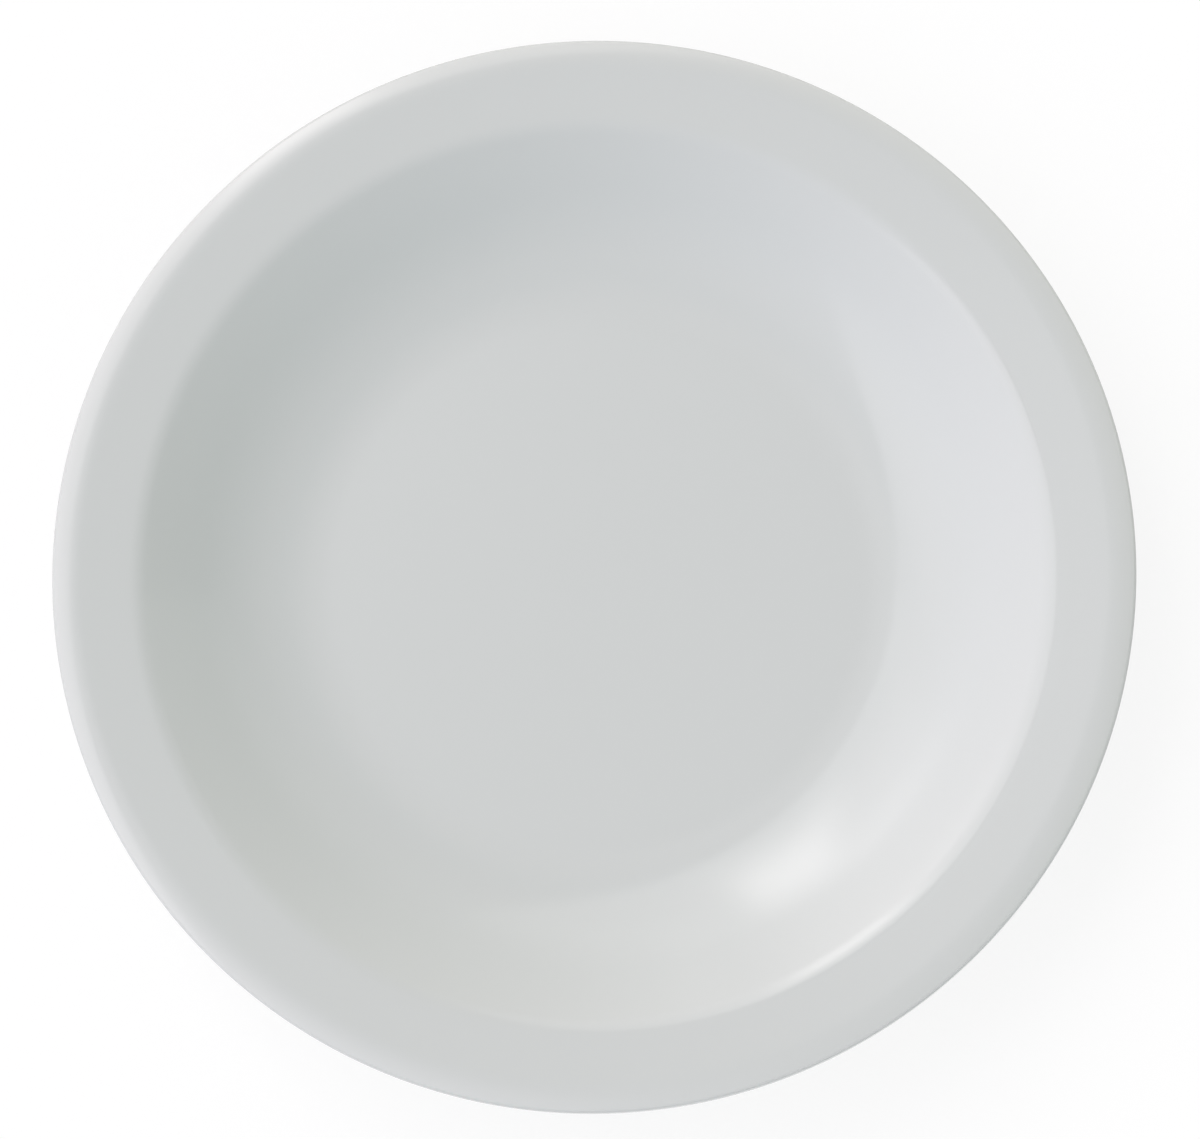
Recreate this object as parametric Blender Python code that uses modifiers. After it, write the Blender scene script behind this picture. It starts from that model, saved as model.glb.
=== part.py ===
"""Round porcelain side plate: a flat-floored well with a curved wall, a narrow rim and a foot ring.

The plate is a fired clay body under two coats of glaze. One coat runs from the middle of the well,
over the lip and down to the outer side of the foot ring. The other lies in the recess inside the
foot ring. The foot itself is wiped bare, so it parts the two coats.

The section is drawn in the XZ plane, in millimetres, and turned about Z. The origin is the centre of
the foot ring, on the surface that the plate stands on.
"""

import math

import bpy
from mathutils import Vector

# Overall sizes, in millimetres
PLATE_DIAMETER = 165.0
RIM_WIDTH = 13.2  # in plan, from the crease to the edge of the plate
RIM_RISE = 1.9  # gained from the crease to the edge
WALL_RUN = 17.9  # in plan, from the knee to the crease
WELL_DEPTH = 11.6  # from the crease down to the floor of the well
THICKNESS = 4.5  # of base, wall and rim alike

# Where the floor turns up into the wall, and the wall out into the rim
KNEE_RADIUS = 35.0
UNDER_KNEE_RADIUS = 10.0
CREASE_RADIUS = 6.0
UNDER_CREASE_RADIUS = 5.0

# The lip: a shallow crown that runs into a tight nose
LIP_CROWN_WIDTH = 3.2
LIP_CROWN_DROP = 1.0
LIP_CROWN_RADIUS = 9.0
LIP_NOSE_RADIUS = 1.7
LIP_UNDER_RADIUS = 1.5

# The foot ring, measured over its glaze
FOOT_HEIGHT = 2.2
FOOT_WIDTH = 4.6  # at the table
FOOT_SETBACK = 3.8  # from the knee in to the outer side of the foot
FOOT_DRAFT = 0.5  # each side leans by this much over the foot's height
FOOT_ROOT_RADIUS = 1.0
FOOT_TOE_RADIUS = 0.8
BARE_HEIGHT = 0.9  # of the foot that is wiped free of glaze

# The glaze, and the clearance between it and the clay
GLAZE_THICKNESS = 0.35
BOND_GAP = 0.3

# Colours and roughnesses
BISQUE_COLOUR = (0.78, 0.76, 0.72)
BISQUE_ROUGHNESS = 0.75
GLAZE_COLOUR = (0.79, 0.79, 0.78)
GLAZE_ROUGHNESS = 0.1
RECESS_ROUGHNESS = 0.14

# How finely round shapes are divided
TURN_STEPS = 72
CHORD_ERROR = 0.04  # most that a chord may lie inside its arc
AXIS_MERGE = 0.00001  # in metres: points nearer to the axis than this are on it

MM = 0.001
PLATE_RADIUS = PLATE_DIAMETER / 2
CREASE_R = PLATE_RADIUS - RIM_WIDTH
KNEE_R = CREASE_R - WALL_RUN
FLOOR_Z = FOOT_HEIGHT + THICKNESS
CREASE_Z = FLOOR_Z + WELL_DEPTH
CROWN_R = PLATE_RADIUS - LIP_CROWN_WIDTH
CROWN_Z = CREASE_Z + RIM_RISE * (CROWN_R - CREASE_R) / RIM_WIDTH
NOSE_Z = CROWN_Z - LIP_CROWN_DROP
FOOT_OUTER_R = KNEE_R - FOOT_SETBACK
FOOT_INNER_R = FOOT_OUTER_R - FOOT_WIDTH
FOOT_LEAN = FOOT_DRAFT / FOOT_HEIGHT


def corner(r, z, radius=0.0):
    """A corner of the section, with the radius that rounds it."""
    return Vector((r, z)), radius


def meet(first, second, third, fourth):
    """Where the line through the first two points crosses the line through the other two."""
    along = second - first
    across = fourth - third
    return first + along * ((third - first).cross(across) / along.cross(across))


def directions(corners):
    """The unit direction of each side between two corners."""
    places = [place for place, _ in corners]
    return [(end - start).normalized() for start, end in zip(places, places[1:])]


def turns(corners):
    """How far the outline turns at each inner corner, positive to the left, where it is hollow."""
    sides = directions(corners)
    return [math.atan2(before.cross(after), before.dot(after)) for before, after in zip(sides, sides[1:])]


def inset(corners, depth):
    """The same run, moved by depth into the material on its right, with concentric roundings."""
    sides = directions(corners)
    moved = []
    for (place, radius), before, after in zip(corners, sides[:1] + sides, sides + sides[-1:]):
        inward = Vector((before.y + after.y, -before.x - after.x)) / (1 + before.dot(after))
        growth = math.copysign(depth, before.cross(after))
        moved.append((place + inward * depth, max(radius + growth, 0.0) if radius else 0.0))
    return moved


def tangent_lengths(corners):
    """The length that each rounding takes from its sides, limited where a side is too short for both."""
    angles = [0.0] + turns(corners) + [0.0]
    wanted = [radius * math.tan(abs(angle) / 2) for (_, radius), angle in zip(corners, angles)]
    shares = [1.0]
    for (start, _), (end, _), first, second in zip(corners, corners[1:], wanted, wanted[1:]):
        length = (end - start).length
        shares.append(length / max(first + second, length))
    shares.append(1.0)
    return [length * min(before, after) for length, before, after in zip(wanted, shares, shares[1:])]


def arc(place, before, turn, length):
    """Points of the arc that touches both sides of a corner at this length from it."""
    radius = length / math.tan(abs(turn) / 2)
    widest_step = 2 * math.acos(1 - min(CHORD_ERROR / radius, 1.0))
    steps = math.ceil(abs(turn) / widest_step)
    to_centre = before.orthogonal() * math.copysign(radius, turn)
    centre = place - before * length + to_centre
    points = []
    for step in range(steps + 1):
        angle = turn * step / steps
        across = before * math.sin(angle) * math.copysign(radius, turn)
        points.append(centre - to_centre * math.cos(angle) + across)
    return points


def outline(corners):
    """The run of corners as points, with each rounding as an arc."""
    inner = zip(corners[1:], directions(corners), turns(corners), tangent_lengths(corners)[1:])
    points = [corners[0][0]]
    for (place, _), before, turn, length in inner:
        points += arc(place, before, turn, length) if length else [place]
    return points + [corners[-1][0]]


def upper_side():
    """From the middle of the well out to the top of the lip's nose."""
    return [
        corner(0, FLOOR_Z),
        corner(KNEE_R, FLOOR_Z, KNEE_RADIUS),
        corner(CREASE_R, CREASE_Z, CREASE_RADIUS),
        corner(CROWN_R, CROWN_Z, LIP_CROWN_RADIUS),
        corner(PLATE_RADIUS, NOSE_Z, LIP_NOSE_RADIUS),
    ]


def foot_side(toe_r, lean, height):
    """The point at this height on a side of the foot ring that leans out from toe_r."""
    return Vector((toe_r + lean * height, height))


def under_side():
    """From the bottom of the lip in to the root of the foot, parallel to the upper side."""
    rim_end = corner(PLATE_RADIUS, CREASE_Z + RIM_RISE)
    knee, crease, rim = [place for place, _ in inset(upper_side()[:3] + [rim_end], THICKNESS)[1:]]
    edge = Vector((PLATE_RADIUS, FLOOR_Z)), Vector((PLATE_RADIUS, CREASE_Z))
    lip = meet(crease, rim, *edge)
    root = foot_side(FOOT_OUTER_R, FOOT_LEAN, FOOT_HEIGHT)
    return [
        (lip, LIP_UNDER_RADIUS),
        (crease, UNDER_CREASE_RADIUS),
        (knee, UNDER_KNEE_RADIUS),
        (root, FOOT_ROOT_RADIUS),
    ]


def coat_path():
    """The glazed run from the middle of the well over the lip to the outer side of the bare foot."""
    edge = foot_side(FOOT_OUTER_R, FOOT_LEAN, BARE_HEIGHT)
    return upper_side() + under_side() + [(edge, 0.0)]


def base_path():
    """The glazed run from the inner side of the bare foot across the recess to the axis."""
    edge = foot_side(FOOT_INNER_R, -FOOT_LEAN, BARE_HEIGHT)
    root = foot_side(FOOT_INNER_R, -FOOT_LEAN, FOOT_HEIGHT)
    return [(edge, 0.0), (root, FOOT_ROOT_RADIUS), corner(0, FOOT_HEIGHT)]


def body_section():
    """The clay, which stands back from the glazed runs by the glaze and the gap, down to the table."""
    skin = GLAZE_THICKNESS + BOND_GAP
    outer_run = inset(coat_path(), skin)
    inner_run = inset(base_path(), skin)
    table = Vector((0, 0)), Vector((PLATE_RADIUS, 0))
    outer_toe = meet(outer_run[-2][0], outer_run[-1][0], *table)
    inner_toe = meet(inner_run[0][0], inner_run[1][0], *table)
    foot = [(outer_toe, FOOT_TOE_RADIUS), (inner_toe, FOOT_TOE_RADIUS)]
    return outline(outer_run[:-1] + foot + inner_run[1:])


def coat_section():
    """The main coat of glaze."""
    return outline(coat_path()) + outline(inset(coat_path(), GLAZE_THICKNESS))[::-1]


def base_section():
    """The coat of glaze inside the foot ring."""
    return outline(inset(base_path(), GLAZE_THICKNESS))[::-1] + outline(base_path())


def ceramic(name, colour, roughness):
    """A material of one colour and roughness."""
    material = bpy.data.materials.new(name)
    material.use_nodes = True
    shader = material.node_tree.nodes["Principled BSDF"]
    shader.inputs["Base Color"].default_value = (*colour, 1.0)
    shader.inputs["Roughness"].default_value = roughness
    shader.inputs["Metallic"].default_value = 0.0
    return material


def turned(name, section, material, collection, parent):
    """A solid made by turning a section about Z."""
    points = [(point.x * MM, 0.0, point.y * MM) for point in section]
    edges = [(index, index + 1) for index in range(len(points) - 1)]
    mesh = bpy.data.meshes.new(name)
    mesh.from_pydata(points, edges, [])
    mesh.materials.append(material)
    solid = bpy.data.objects.new(name, mesh)
    solid.parent = parent
    collection.objects.link(solid)
    screw = solid.modifiers.new("turned about the axis", "SCREW")
    screw.axis = "Z"
    screw.angle = math.tau
    screw.steps = TURN_STEPS
    screw.render_steps = TURN_STEPS
    screw.use_smooth_shade = True
    screw.use_merge_vertices = True
    screw.merge_threshold = AXIS_MERGE
    return solid


def clear_scene():
    """Removes every object that the scene starts with."""
    for item in list(bpy.data.objects):
        bpy.data.objects.remove(item)


def build():
    """Makes the plate's body and its two coats of glaze, all carried by one empty at the seat."""
    clear_scene()
    collection = bpy.data.collections.new("side_plate")
    bpy.context.scene.collection.children.link(collection)
    seat = bpy.data.objects.new("plate_seat", None)
    collection.objects.link(seat)
    bisque = ceramic("bisque", BISQUE_COLOUR, BISQUE_ROUGHNESS)
    glaze = ceramic("glaze", GLAZE_COLOUR, GLAZE_ROUGHNESS)
    recess_glaze = ceramic("recess_glaze", GLAZE_COLOUR, RECESS_ROUGHNESS)
    turned("porcelain_body", body_section(), bisque, collection, seat)
    turned("glaze_coat", coat_section(), glaze, collection, seat)
    turned("base_glaze", base_section(), recess_glaze, collection, seat)


build()
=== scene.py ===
"""Looks of the round white side plate: its clay body, its two coats of glaze, and a plain white studio.

The plate is one turned shape. Each piece is a run of corners in the XZ plane, in millimetres, which a
Geometry Nodes tree rounds and turns about Z. The plate's radius comes from the frame.
"""

import math

import bpy
from mathutils import Matrix, Vector


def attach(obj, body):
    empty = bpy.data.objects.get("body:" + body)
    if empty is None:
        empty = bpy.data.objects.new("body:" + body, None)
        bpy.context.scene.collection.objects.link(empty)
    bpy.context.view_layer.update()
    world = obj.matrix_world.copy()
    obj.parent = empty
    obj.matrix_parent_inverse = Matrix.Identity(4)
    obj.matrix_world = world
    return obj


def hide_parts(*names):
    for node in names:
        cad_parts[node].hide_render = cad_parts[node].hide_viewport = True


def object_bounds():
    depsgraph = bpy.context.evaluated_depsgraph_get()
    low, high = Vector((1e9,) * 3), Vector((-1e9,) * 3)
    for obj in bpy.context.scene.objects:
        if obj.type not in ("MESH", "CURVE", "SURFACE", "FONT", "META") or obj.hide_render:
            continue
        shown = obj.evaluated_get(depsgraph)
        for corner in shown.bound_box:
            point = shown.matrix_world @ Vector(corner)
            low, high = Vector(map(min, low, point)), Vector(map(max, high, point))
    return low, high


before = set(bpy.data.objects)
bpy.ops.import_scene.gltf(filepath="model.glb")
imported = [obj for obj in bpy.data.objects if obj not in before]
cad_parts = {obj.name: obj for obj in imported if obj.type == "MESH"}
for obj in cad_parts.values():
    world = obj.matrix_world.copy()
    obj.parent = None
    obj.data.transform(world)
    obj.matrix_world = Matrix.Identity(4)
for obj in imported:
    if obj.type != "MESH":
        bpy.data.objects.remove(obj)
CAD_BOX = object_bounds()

MM = 0.001

# Sizes of the section, in millimetres
PLATE_RADIUS = CAD_BOX[1][0] / MM
RIM_WIDTH = 13.2
RIM_RISE = 1.65
WALL_RUN = 17.9
WELL_DEPTH = 11.6
THICKNESS = 4.5
KNEE_RADIUS = 35.0
UNDER_KNEE_RADIUS = 10.0
CREASE_RADIUS = 6.0
UNDER_CREASE_RADIUS = 5.0
LIP_CROWN_WIDTH = 2.5
LIP_CROWN_DROP = 0.86
LIP_CROWN_RADIUS = 9.0
LIP_NOSE_RADIUS = 0.75
LIP_UNDER_RADIUS = 1.5
FOOT_HEIGHT = 2.2
FOOT_WIDTH = 4.6
FOOT_SETBACK = 3.8
FOOT_DRAFT = 0.5
FOOT_ROOT_RADIUS = 1.0
FOOT_TOE_RADIUS = 0.8
BARE_HEIGHT = 0.9
GLAZE_THICKNESS = 0.35
GLAZE_EDGE_RADIUS = 0.16
BOND_GAP = 0.02  # the glaze lies close on the clay here

CREASE_R = PLATE_RADIUS - RIM_WIDTH
KNEE_R = CREASE_R - WALL_RUN
FLOOR_Z = FOOT_HEIGHT + THICKNESS
CREASE_Z = FLOOR_Z + WELL_DEPTH
CROWN_R = PLATE_RADIUS - LIP_CROWN_WIDTH
CROWN_Z = CREASE_Z + RIM_RISE * (CROWN_R - CREASE_R) / RIM_WIDTH
FOOT_OUTER_R = KNEE_R - FOOT_SETBACK
FOOT_INNER_R = FOOT_OUTER_R - FOOT_WIDTH
FOOT_LEAN = FOOT_DRAFT / FOOT_HEIGHT

# How finely the pieces are divided
TURN_STEPS = 240
CHORD_ERROR = 0.001  # in millimetres, the most that a chord may lie inside its arc
LONGEST_SIDE = 3.0 * MM
SEAM_MERGE = 0.001 * MM

# How far firing has pulled the plate out of true. The turns are in radians about the axis.
OVALITY = 0.0006
OVAL_TURN = 0.7
RIM_SAG = 0.10 * MM
SAG_TURN = 2.1
SAG_WAVES = 3
SAG_WAVINESS = 0.3
SAG_POWER = 4.0  # of the radius, so that the floor stays flat

# The glaze
GLAZE_WHITE = (0.681, 0.706, 0.698, 1)
GLAZE_POOLED = (0.659, 0.690, 0.684, 1)
# Paler glaze over the lip: partly thinner glaze, and partly painted light that brightens the lip as light
# falling on it would.
GLAZE_THIN_AND_PAINTED_LIGHT = (0.763, 0.778, 0.765, 1)
FLECK_COLOUR = (0.42, 0.38, 0.33, 1)
GLAZE_ROUGHNESS = 0.075
GLAZE_IOR = 1.5
CLOUD_SIZE = 22 * MM
HAZE_SIZE = 30 * MM
SWELL_SIZE = 17 * MM
SWELL_HEIGHT = 0.008 * MM
FINE_SIZE = 1.2 * MM
FINE_HEIGHT = 0.0004 * MM
FLECK_SPACING = 9 * MM
FLECK_RADIUS = 0.16 * MM
PIT_SPACING = 5 * MM
PIT_RADIUS = 0.1 * MM
PIT_DEPTH = 0.004 * MM
RING_SPACING = 2.3 * MM
RECESS_RING_HEIGHT = 0.02 * MM
POOL_R = 58.0  # in millimetres, where glaze gathers on the wall
POOL_REACH = 14.0
POOL_SHARE = 0.6  # of the pooled tone, before the cloud varies it
FOOT_POOL_REACH = 4.0
FOOT_POOL_SHARE = 0.4
# Where the paler lip begins and how much of its tone it takes: thinner glaze, and painted light on the lip.
THIN_AND_PAINTED_LIGHT_START = 1.9  # in millimetres, inside the crown of the lip
THIN_AND_PAINTED_LIGHT_SHARE = 0.6
FLECK_SHARE = 0.25
HAZE_ROUGHNESS = 0.05  # what the haze and the fine ripple add
FINE_ROUGHNESS = 0.02
SPECK_CORE = 0.6  # of a speck's radius, where its soft edge starts

# The bare clay of the foot
CLAY_PALE = (0.70, 0.672, 0.625, 1)
CLAY_WARM = (0.66, 0.632, 0.585, 1)
GRAIN_COLOUR = (0.56, 0.53, 0.48, 1)
GRIT_COLOUR = (0.36, 0.32, 0.27, 1)
RUBBED_GREY = (0.50, 0.49, 0.47, 1)
CLAY_ROUGHNESS = 0.72
CLAY_CLOUD_SIZE = 9 * MM
GRAIN_SIZE = 0.35 * MM
GRAIN_HEIGHT = 0.05 * MM
GRIT_SPACING = 1.6 * MM
GRIT_RADIUS = 0.16 * MM
GRIT_HEIGHT = 0.03 * MM
RUBBED_HEIGHT = 0.25 * MM
RUBBED_CLOUD = 0.35, 0.7  # from where to where in the cloud the rubbing grows
GRAIN_SHARE = 0.35  # of each tone, at most
GRIT_SHARE = 0.5
RUBBED_SHARE = 0.35
GRAIN_ROUGHNESS = 0.16  # what the grain adds, and the rubbing takes away
RUBBED_POLISH = 0.15

# The picture, in pixels, and where the plate lies in it
PICTURE = Vector((1200, 1139))
PLATE_CENTRE = Vector((592.8, 571.8))
PLATE_HALF_WIDTH = 541.7
CAMERA_DISTANCE = 0.95
CAMERA_TILT = math.radians(9.0)
CAMERA_BEARING = math.radians(74)
AIM_HEIGHT = 16.5 * MM
SENSOR_WIDTH = 36.0

# The floor
FLOOR_HALF_WIDTH = 3.0
FLOOR_DROP = 0.2 * MM
FLOOR_COLOUR = (0.85, 0.85, 0.85, 1)
FLOOR_GLOW = 1.07
FLOOR_GLOW_SHARE = 0.8  # the rest is lit, and keeps the shadow

# The light. Bearings and rises are in degrees, and a panel's sizes are shares of its distance.
GLOWS = (  # bearing, rise, focus, brightness
    (130, 29, 25, 1.55),
    (223, 35, 4.2, 1.0),
    (75, 12, 14, 0.35),
    (318, 8, 2.5, 0.8),
    (325, 2, 13, 0.35),
)
PANELS = (  # bearing, rise, half width, half height, softness of its sides and of its ends, brightness
    (120, 44, 0.09, 0.22, 0.045, 0.25, 3.2),
    (60, 0, 1.07, 1.17, 0.12, 0.28, 0.4),
    (137, 62.5, 0.12, 0.335, 0.02, 0.02, 0.33),
    (150, 46, 0.90, 0.467, 0.84, 0.015, 1.28),
)
RED_BEARING = 150  # the light has the most red from here, and the least from the other side
RED_SHARE = 0.055
BLUE_BEARING = 215
BLUE_SHARE = 0.08
WHITE = (1, 1, 1, 1)


class Wire:
    """A socket of a node tree that adds, takes away, multiplies and divides as a number does."""

    def __init__(self, tree, socket=None):
        self.tree = tree
        self.socket = socket

    def feed(self, socket, value):
        """Links a socket to a wire, or sets it to a plain value."""
        if isinstance(value, Wire):
            self.tree.links.new(value.socket, socket)
        else:
            socket.default_value = value

    def node(self, kind, settings=None, sockets=None, out=0):
        """Adds a node with these settings and then these sockets, and gives one of its outputs."""
        node = self.tree.nodes.new(kind)
        for name, value in (settings or {}).items():
            setattr(node, name, value)
        for name, value in (sockets or {}).items():
            self.feed(node.inputs[name], value)
        return Wire(self.tree, node.outputs[out])

    def other(self, name):
        """Another output of the node that this wire comes from."""
        return Wire(self.tree, self.socket.node.outputs[name])

    def math(self, operation, *values):
        """A Math node on these values."""
        return self.node("ShaderNodeMath", {"operation": operation}, dict(enumerate(values)))

    def vector(self, operation, *values, out=0):
        """A Vector Math node on these values."""
        return self.node("ShaderNodeVectorMath", {"operation": operation}, dict(enumerate(values)), out)

    def mix(self, share, first, second):
        """A colour between two colours."""
        sockets = {0: share, 6: first, 7: second}
        return self.node("ShaderNodeMix", {"data_type": "RGBA"}, sockets, 2)

    def step(self, low, high):
        """A smooth rise from 0 at low to 1 at high."""
        sockets = {"Value": self, "From Min": low, "From Max": high}
        return self.node("ShaderNodeMapRange", {"interpolation_type": "SMOOTHSTEP"}, sockets)

    def band(self, middle, reach):
        """1 at the middle, falling smoothly to 0 at this reach from it."""
        return 1 - self.math("ABSOLUTE", self - middle).step(0.0, reach)

    def __add__(self, other):
        return self.math("ADD", self, other)

    def __sub__(self, other):
        return self.math("SUBTRACT", self, other)

    def __mul__(self, other):
        return self.math("MULTIPLY", self, other)

    def __truediv__(self, other):
        return self.math("DIVIDE", self, other)

    def __radd__(self, other):
        return self.math("ADD", other, self)

    def __rsub__(self, other):
        return self.math("SUBTRACT", other, self)

    def __rmul__(self, other):
        return self.math("MULTIPLY", other, self)

    def __rtruediv__(self, other):
        return self.math("DIVIDE", other, self)


# The section

def corner(r, z, rounding=0.0):
    """A corner of the section, with the radius that rounds it."""
    return Vector((r, z)), rounding


def meet(first, second, third, fourth):
    """Where the line through the first two points crosses the line through the other two."""
    along = second - first
    across = fourth - third
    return first + along * ((third - first).cross(across) / along.cross(across))


def inset(corners, depth):
    """The same run, moved by depth into the material on its right, with concentric roundings."""
    places = [place for place, _ in corners]
    sides = [(end - start).normalized() for start, end in zip(places, places[1:])]
    moved = []
    for (place, rounding), before, after in zip(corners, sides[:1] + sides, sides + sides[-1:]):
        inward = Vector((before.y + after.y, -before.x - after.x)) / (1 + before.dot(after))
        growth = math.copysign(depth, before.cross(after))
        moved.append((place + inward * depth, max(rounding + growth, 0.0) if rounding else 0.0))
    return moved


def foot_side(toe_r, lean, height):
    """The point at this height on a side of the foot ring that leans out from toe_r."""
    return Vector((toe_r + lean * height, height))


def upper_side():
    """From the middle of the well out to the top of the lip's nose."""
    return [
        corner(0, FLOOR_Z),
        corner(KNEE_R, FLOOR_Z, KNEE_RADIUS),
        corner(CREASE_R, CREASE_Z, CREASE_RADIUS),
        corner(CROWN_R, CROWN_Z, LIP_CROWN_RADIUS),
        corner(PLATE_RADIUS, CROWN_Z - LIP_CROWN_DROP, LIP_NOSE_RADIUS),
    ]


def coat_path():
    """The glazed run from the middle of the well over the lip to the outer side of the bare foot."""
    rim_end = corner(PLATE_RADIUS, CREASE_Z + RIM_RISE)
    knee, crease, rim = [place for place, _ in inset(upper_side()[:3] + [rim_end], THICKNESS)[1:]]
    lip = meet(crease, rim, Vector((PLATE_RADIUS, 0)), Vector((PLATE_RADIUS, CREASE_Z)))
    return upper_side() + [
        (lip, LIP_UNDER_RADIUS),
        (crease, UNDER_CREASE_RADIUS),
        (knee, UNDER_KNEE_RADIUS),
        (foot_side(FOOT_OUTER_R, FOOT_LEAN, FOOT_HEIGHT), FOOT_ROOT_RADIUS),
        (foot_side(FOOT_OUTER_R, FOOT_LEAN, BARE_HEIGHT), GLAZE_EDGE_RADIUS),
    ]


def base_path():
    """The glazed run from the inner side of the bare foot across the recess to the axis."""
    return [
        (foot_side(FOOT_INNER_R, -FOOT_LEAN, BARE_HEIGHT), GLAZE_EDGE_RADIUS),
        (foot_side(FOOT_INNER_R, -FOOT_LEAN, FOOT_HEIGHT), FOOT_ROOT_RADIUS),
        corner(0, FOOT_HEIGHT),
    ]


def buried(path):
    """The side of a coat of glaze that lies on the clay, with its edge rounded as its outer side is."""
    run = inset(path, GLAZE_THICKNESS)
    return [(place, GLAZE_EDGE_RADIUS if rounding == GLAZE_EDGE_RADIUS else new)
            for (place, new), (_, rounding) in zip(run, path)]


def body_section():
    """The clay under the glaze, down to the table."""
    skin = GLAZE_THICKNESS + BOND_GAP
    outer_run = inset(coat_path(), skin)
    inner_run = inset(base_path(), skin)
    table = Vector((0, 0)), Vector((PLATE_RADIUS, 0))
    outer_toe = meet(outer_run[-2][0], outer_run[-1][0], *table)
    inner_toe = meet(inner_run[0][0], inner_run[1][0], *table)
    foot = [(outer_toe, FOOT_TOE_RADIUS), (inner_toe, FOOT_TOE_RADIUS)]
    return outer_run[:-1] + foot + inner_run[1:]


def coat_section():
    """The main coat of glaze."""
    return coat_path() + buried(coat_path())[::-1]


def base_section():
    """The coat of glaze inside the foot ring."""
    return buried(base_path())[::-1] + base_path()


def rounding_steps(section):
    """How many steps the rounding of each corner takes, so that its chords stay close to the arc."""
    steps = [1]
    for (start, _), (place, rounding), (end, _) in zip(section, section[1:], section[2:]):
        turn = (place - start).angle(end - place)
        widest = 2 * math.acos(1 - CHORD_ERROR / max(rounding, CHORD_ERROR))
        steps.append(max(math.ceil(turn / widest), 1))
    return steps + [1]


# The turned pieces

def turning_tree():
    """A tree that rounds a run of corners, turns it about Z and pulls it slightly out of true."""
    tree = bpy.data.node_groups.new("turned section", "GeometryNodeTree")
    tree.interface.new_socket("Section", in_out="INPUT", socket_type="NodeSocketGeometry")
    for name, kind in (
        ("Steps round", "NodeSocketInt"),
        ("Longest side", "NodeSocketFloat"),
        ("Plate radius", "NodeSocketFloat"),
        ("Rim height", "NodeSocketFloat"),
        ("Ovality", "NodeSocketFloat"),
        ("Rim sag", "NodeSocketFloat"),
        ("Glaze or clay", "NodeSocketMaterial"),
    ):
        tree.interface.new_socket(name, in_out="INPUT", socket_type=kind)
    tree.interface.new_socket("Piece", in_out="OUTPUT", socket_type="NodeSocketGeometry")
    start = tree.nodes.new("NodeGroupInput")
    given = {socket.name: Wire(tree, socket) for socket in start.outputs if socket.name}
    make = Wire(tree)

    rounding = make.node("GeometryNodeInputNamedAttribute", {"data_type": "FLOAT"}, {"Name": "rounding"})
    steps = make.node("GeometryNodeInputNamedAttribute", {"data_type": "INT"}, {"Name": "steps"})
    run = make.node("GeometryNodeMeshToCurve", None, {"Mesh": given["Section"]})
    run = make.node("GeometryNodeFilletCurve", {"mode": "POLY"}, {
        "Curve": run, "Count": steps, "Radius": rounding, "Limit Radius": True,
    })
    place = make.node("GeometryNodeInputPosition")
    index = make.node("GeometryNodeInputIndex")
    following = make.node("GeometryNodeFieldAtIndex", {"data_type": "FLOAT_VECTOR"}, {
        "Index": index + 1, "Value": place,
    })
    side = make.vector("DISTANCE", place, following, out="Value")
    cuts = make.math("FLOOR", side / given["Longest side"])
    run = make.node("GeometryNodeSubdivideCurve", None, {"Curve": run, "Cuts": cuts})

    points = make.node("GeometryNodeAttributeDomainSize", {"component": "CURVE"}, {"Geometry": run})
    sheet = make.node("GeometryNodeMeshGrid", None, {
        "Vertices X": given["Steps round"] + 1, "Vertices Y": points,
    })
    on_run = make.node("GeometryNodeSampleIndex", {"data_type": "FLOAT_VECTOR"}, {
        "Geometry": run, "Value": place, "Index": make.math("FLOORED_MODULO", index, points),
    })
    r = make.node("ShaderNodeSeparateXYZ", None, {"Vector": on_run}, "X")
    z = r.other("Z")
    angle = make.math("FLOOR", (index + 0.5) / points) / given["Steps round"] * math.tau
    oval = 1 - given["Ovality"] * (1 - make.math("COSINE", 2 * angle + OVAL_TURN)) / 2
    reach = make.math("POWER", r / given["Plate radius"], SAG_POWER)
    lift = make.math("MINIMUM", z / given["Rim height"], 1.0)
    wave = SAG_WAVINESS * make.math("COSINE", SAG_WAVES * angle + SAG_TURN)
    sag = given["Rim sag"] * reach * lift * (1 - SAG_WAVINESS - wave)
    turned = make.node("ShaderNodeCombineXYZ", None, {
        "X": r * oval * make.math("COSINE", angle),
        "Y": r * oval * make.math("SINE", angle),
        "Z": z - sag,
    })
    piece = make.node("GeometryNodeSetPosition", None, {"Geometry": sheet, "Position": turned})
    piece = make.node("GeometryNodeMergeByDistance", None, {"Geometry": piece, "Distance": SEAM_MERGE})
    piece = make.node("GeometryNodeFlipFaces", None, {"Mesh": piece})
    piece = make.node("GeometryNodeSetShadeSmooth", None, {"Geometry": piece})
    piece = make.node("GeometryNodeRealizeInstances", None, {"Geometry": piece})
    piece = make.node("GeometryNodeSetMaterial", None, {
        "Geometry": piece, "Material": given["Glaze or clay"],
    })
    end = tree.nodes.new("NodeGroupOutput")
    tree.links.new(piece.socket, end.inputs["Piece"])
    return tree


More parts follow.
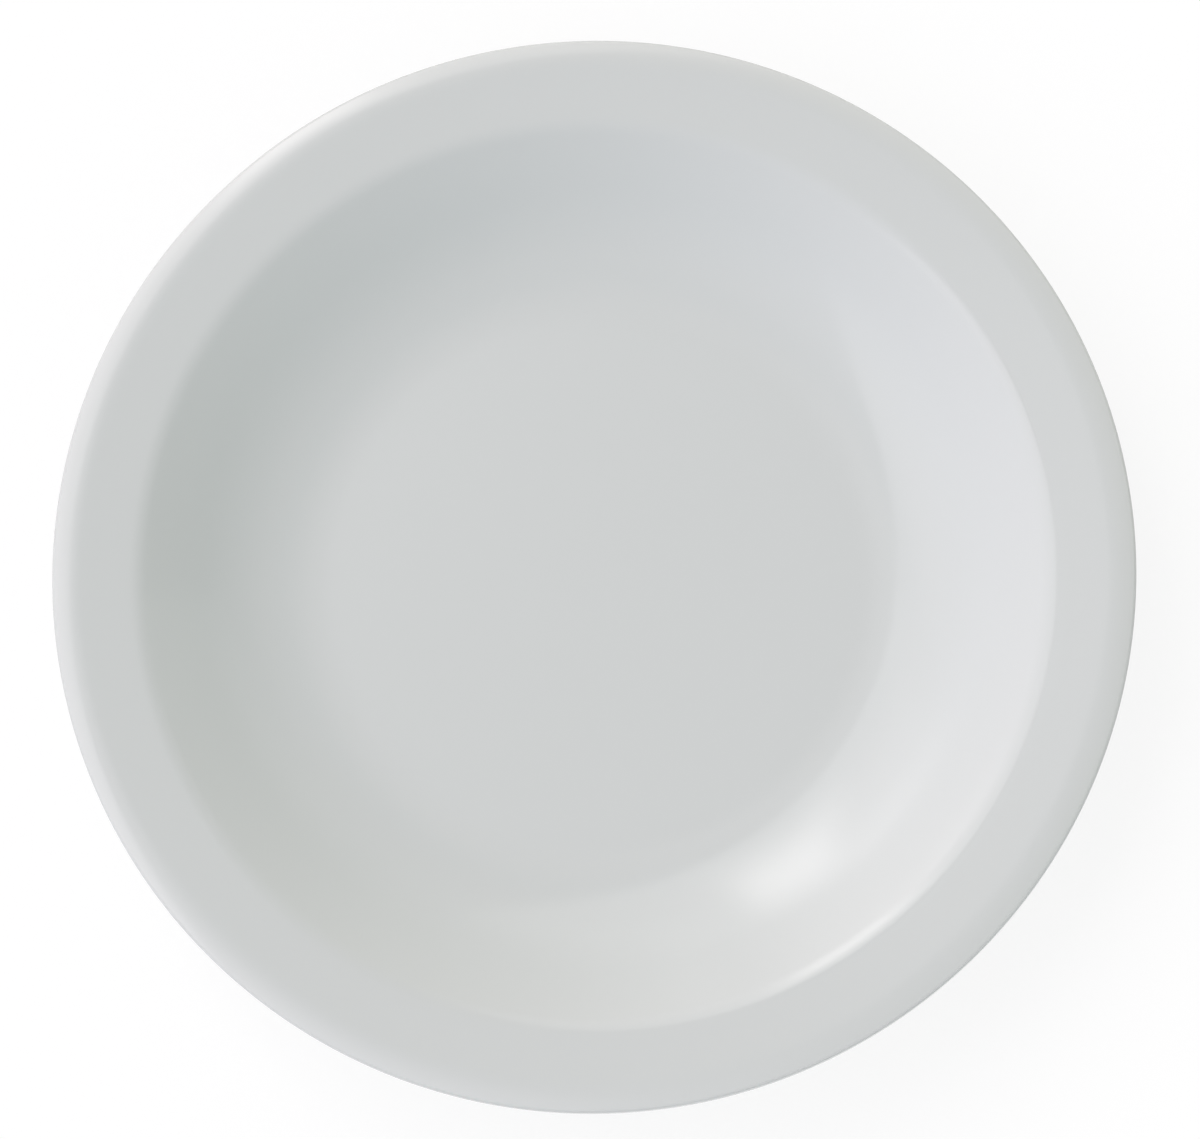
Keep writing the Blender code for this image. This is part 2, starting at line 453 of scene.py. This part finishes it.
def turned(name, section, tree, material):
    """A plain mesh object: the section rounded and turned by the tree."""
    points = [(place.x * MM, 0.0, place.y * MM) for place, _ in section]
    mesh = bpy.data.meshes.new(name + "_section")
    mesh.from_pydata(points, [(index, index + 1) for index in range(len(points) - 1)], [])
    roundings = mesh.attributes.new("rounding", "FLOAT", "POINT")
    roundings.data.foreach_set("value", [rounding * MM for _, rounding in section])
    steps = mesh.attributes.new("steps", "INT", "POINT")
    steps.data.foreach_set("value", rounding_steps(section))
    piece = bpy.data.objects.new(name, mesh)
    bpy.context.scene.collection.objects.link(piece)
    modifier = piece.modifiers.new("turned", "NODES")
    modifier.node_group = tree
    values = {
        "Steps round": TURN_STEPS,
        "Longest side": LONGEST_SIDE,
        "Plate radius": PLATE_RADIUS * MM,
        "Rim height": CREASE_Z * MM,
        "Ovality": OVALITY,
        "Rim sag": RIM_SAG,
        "Glaze or clay": material,
    }
    for socket in tree.interface.items_tree:
        if socket.name in values:
            modifier[socket.identifier] = values[socket.name]
    bpy.context.view_layer.update()
    shape = piece.evaluated_get(bpy.context.evaluated_depsgraph_get())
    piece.data = bpy.data.meshes.new_from_object(shape)
    piece.data.name = name
    piece.modifiers.clear()
    bpy.data.meshes.remove(mesh)
    return piece


# Materials

def new_material(name):
    """A material, its Principled shader and a wire to build its nodes with."""
    material = bpy.data.materials.new(name)
    material.use_nodes = True
    shader = material.node_tree.nodes["Principled BSDF"]
    return material, shader, Wire(material.node_tree)


def noise(make, place, size, detail=2.0, roughness=0.5):
    """Noise from 0 to 1 whose features are about this size, in metres."""
    return make.node("ShaderNodeTexNoise", None, {
        "Vector": place, "Scale": 1 / size, "Detail": detail, "Roughness": roughness,
    })


def specks(make, place, spacing, radius):
    """1 inside small round specks, about this far apart and of up to this radius, else 0."""
    far = make.node("ShaderNodeTexVoronoi", None, {"Vector": place, "Scale": 1 / spacing}, "Distance")
    size = make.node("ShaderNodeSeparateColor", None, {"Color": far.other("Color")})
    reach = size * radius / spacing
    return 1 - (far / reach).step(SPECK_CORE, 1.0)


def bumped(make, shader, heights):
    """Raises the surface by the heights, each a wire from 0 to 1 and its height in metres."""
    normal = None
    for height, most in heights:
        sockets = {"Height": height, "Distance": most, "Strength": 1.0}
        if normal:
            sockets["Normal"] = normal
        normal = make.node("ShaderNodeBump", None, sockets)
    make.feed(shader.inputs["Normal"], normal)


def glaze_material(name, ring_height=0.0):
    """White glossy glaze, a little deeper in tone where it pools, and paler over the lip, partly where it
    thins and partly as painted light that brightens the lip.
    """
    material, shader, make = new_material(name)
    place = make.node("ShaderNodeTexCoord", out="Object")
    r = make.vector("LENGTH", make.vector("MULTIPLY", place, (1, 1, 0)), out="Value")

    cloud = noise(make, place, CLOUD_SIZE)
    wall_pool = r.band(POOL_R * MM, POOL_REACH * MM)
    foot_pool = r.band(FOOT_OUTER_R * MM, FOOT_POOL_REACH * MM)
    pooled = (wall_pool * POOL_SHARE + foot_pool * FOOT_POOL_SHARE) * (0.5 + cloud)
    # Paler towards the lip's edge: partly thinner glaze, partly painted light that lifts the lip's shade.
    thin_and_painted_light = r.step((CROWN_R - THIN_AND_PAINTED_LIGHT_START) * MM, PLATE_RADIUS * MM)
    fleck = specks(make, place, FLECK_SPACING, FLECK_RADIUS)
    colour = make.mix(pooled, GLAZE_WHITE, GLAZE_POOLED)
    colour = make.mix(thin_and_painted_light * THIN_AND_PAINTED_LIGHT_SHARE, colour, GLAZE_THIN_AND_PAINTED_LIGHT)
    colour = make.mix(fleck * FLECK_SHARE, colour, FLECK_COLOUR)
    make.feed(shader.inputs["Base Color"], colour)

    fine = noise(make, place, FINE_SIZE)
    haze = noise(make, place, HAZE_SIZE, detail=3.0)
    roughness = GLAZE_ROUGHNESS + haze * HAZE_ROUGHNESS + fine * FINE_ROUGHNESS
    make.feed(shader.inputs["Roughness"], roughness)
    shader.inputs["IOR"].default_value = GLAZE_IOR

    swell = noise(make, place, SWELL_SIZE, detail=1.0)
    pits = specks(make, place, PIT_SPACING, PIT_RADIUS)
    heights = [(swell, SWELL_HEIGHT), (fine, FINE_HEIGHT), (1 - pits, PIT_DEPTH)]
    if ring_height:
        rings = make.math("SINE", r * (math.tau / RING_SPACING)) * 0.5 + 0.5
        heights.append((rings, ring_height))
    bumped(make, shader, heights)
    return material


def bisque_material():
    """Bare fired clay: matte, warm and finely grained, a little grey where it rubs on the table."""
    material, shader, make = new_material("bare_clay")
    place = make.node("ShaderNodeTexCoord", out="Object")
    height = make.node("ShaderNodeSeparateXYZ", None, {"Vector": place}, "Z")
    grain = noise(make, place, GRAIN_SIZE, detail=3.0, roughness=0.65)
    cloud = noise(make, place, CLAY_CLOUD_SIZE)
    grit = specks(make, place, GRIT_SPACING, GRIT_RADIUS)
    rubbed = (1 - height.step(0.0, RUBBED_HEIGHT)) * cloud.step(*RUBBED_CLOUD)
    colour = make.mix(cloud, CLAY_PALE, CLAY_WARM)
    colour = make.mix(grain * GRAIN_SHARE, colour, GRAIN_COLOUR)
    colour = make.mix(grit * GRIT_SHARE, colour, GRIT_COLOUR)
    colour = make.mix(rubbed * RUBBED_SHARE, colour, RUBBED_GREY)
    make.feed(shader.inputs["Base Color"], colour)
    roughness = CLAY_ROUGHNESS + grain * GRAIN_ROUGHNESS - rubbed * RUBBED_POLISH
    make.feed(shader.inputs["Roughness"], roughness)
    bumped(make, shader, [(grain, GRAIN_HEIGHT), (grit, GRIT_HEIGHT)])
    return material


# The studio

def seen_ray(make):
    """1 for a ray from the camera, or one that is mirrored or goes through glass, else 0."""
    ray = make.node("ShaderNodeLightPath", out="Is Camera Ray")
    seen = ray + ray.other("Is Glossy Ray") + ray.other("Is Transmission Ray")
    return make.math("MINIMUM", seen, 1.0)


def white_floor():
    """A wide pale floor that looks white and keeps a faint shadow."""
    half = FLOOR_HALF_WIDTH
    corners = [(-half, -half, 0), (half, -half, 0), (half, half, 0), (-half, half, 0)]
    mesh = bpy.data.meshes.new("floor")
    mesh.from_pydata(corners, [], [(0, 1, 2, 3)])
    floor = bpy.data.objects.new("floor", mesh)
    floor.location.z = -FLOOR_DROP
    bpy.context.scene.collection.objects.link(floor)
    material, shader, make = new_material("pale_floor")
    shader.inputs["Base Color"].default_value = FLOOR_COLOUR
    shader.inputs["Roughness"].default_value = 1.0
    shader.inputs["Specular IOR Level"].default_value = 0.0
    glow = make.node("ShaderNodeEmission", None, {"Color": WHITE, "Strength": FLOOR_GLOW})
    lit = Wire(make.tree, shader.outputs[0])
    mixed = make.node("ShaderNodeMixShader", None, {0: seen_ray(make) * FLOOR_GLOW_SHARE, 1: lit, 2: glow})
    make.tree.links.new(mixed.socket, make.tree.nodes["Material Output"].inputs["Surface"])
    mesh.materials.append(material)


def towards(bearing, rise):
    """The unit direction with this bearing about the plate and this rise above the table, in degrees."""
    bearing = math.radians(bearing)
    rise = math.radians(rise)
    return Vector((math.cos(bearing) * math.cos(rise), math.sin(bearing) * math.cos(rise), math.sin(rise)))


def white_room():
    """A room that looks white, with soft glows and soft-edged panels of faintly tinted light in it."""
    world = bpy.data.worlds.new("white_room")
    world.use_nodes = True
    bpy.context.scene.world = world
    make = Wire(world.node_tree)
    place = make.node("ShaderNodeTexCoord", out="Generated")
    strength = seen_ray(make)
    for bearing, rise, focus, brightness in GLOWS:
        nearness = make.vector("DOT_PRODUCT", place, towards(bearing, rise), out="Value")
        strength = strength + brightness * make.math("EXPONENT", (nearness - 1) * focus)
    for bearing, rise, half_width, half_height, side_softness, end_softness, brightness in PANELS:
        middle = towards(bearing, rise)
        side = towards(bearing + 90, 0)
        ahead = make.vector("DOT_PRODUCT", place, middle, out="Value")
        lit = make.math("GREATER_THAN", ahead, 0.0)
        edges = (side, half_width, side_softness), (middle.cross(side), half_height, end_softness)
        for way, reach, softness in edges:
            off = make.math("ABSOLUTE", make.vector("DOT_PRODUCT", place, way, out="Value") / ahead)
            lit = lit * (1 - off.step(reach - softness, reach + softness))
        strength = strength + brightness * lit
    redness = make.vector("DOT_PRODUCT", place, towards(RED_BEARING, 0), out="Value")
    blueness = make.vector("DOT_PRODUCT", place, towards(BLUE_BEARING, 0), out="Value")
    tint = make.node("ShaderNodeCombineColor", None, {
        "Red": 1 + RED_SHARE * redness, "Green": 1.0, "Blue": 1 + BLUE_SHARE * blueness,
    })
    camera_ray = make.node("ShaderNodeLightPath", out="Is Camera Ray")
    background = world.node_tree.nodes["Background"]
    make.feed(background.inputs["Color"], make.mix(camera_ray, tint, WHITE))
    make.feed(background.inputs["Strength"], strength)


def camera():
    """The camera of the photograph, nearly straight above the plate."""
    lens = bpy.data.cameras.new("camera")
    eye = bpy.data.objects.new("camera", lens)
    bpy.context.scene.collection.objects.link(eye)
    bpy.context.scene.camera = eye
    tilt = math.sin(CAMERA_TILT)
    away = Vector((tilt * math.cos(CAMERA_BEARING), -tilt * math.sin(CAMERA_BEARING), math.cos(CAMERA_TILT)))
    right = Vector((0, 1, 0)).cross(away).normalized()
    turn = Matrix((right, away.cross(right), away)).transposed().to_4x4()
    eye.matrix_world = Matrix.Translation(Vector((0, 0, AIM_HEIGHT)) + away * CAMERA_DISTANCE) @ turn
    lens.sensor_width = SENSOR_WIDTH
    scale = PLATE_HALF_WIDTH / (PLATE_RADIUS * MM)
    lens.lens = scale * CAMERA_DISTANCE * SENSOR_WIDTH / PICTURE.x
    lens.shift_x = (PICTURE.x / 2 - PLATE_CENTRE.x) / PICTURE.x
    lens.shift_y = (PLATE_CENTRE.y - PICTURE.y / 2) / PICTURE.x


def build_plate():
    """Makes the three pieces in place of the frame's nodes."""
    tree = turning_tree()
    for node, section, material, slot in (
        ("porcelain_body", body_section(), bisque_material(), "bisque"),
        ("glaze_coat", coat_section(), glaze_material("white_glaze"), "glaze"),
        ("base_glaze", base_section(), glaze_material("recess_glaze", RECESS_RING_HEIGHT), "recess_glaze"),
    ):
        piece = turned("fired_" + node, section, tree, material)
        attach(piece, "root")
        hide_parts(node)


def build_studio():
    """The floor, the room and the camera."""
    white_floor()
    white_room()
    bpy.context.scene.view_settings.view_transform = "Standard"
    camera()


build_plate()
build_studio()
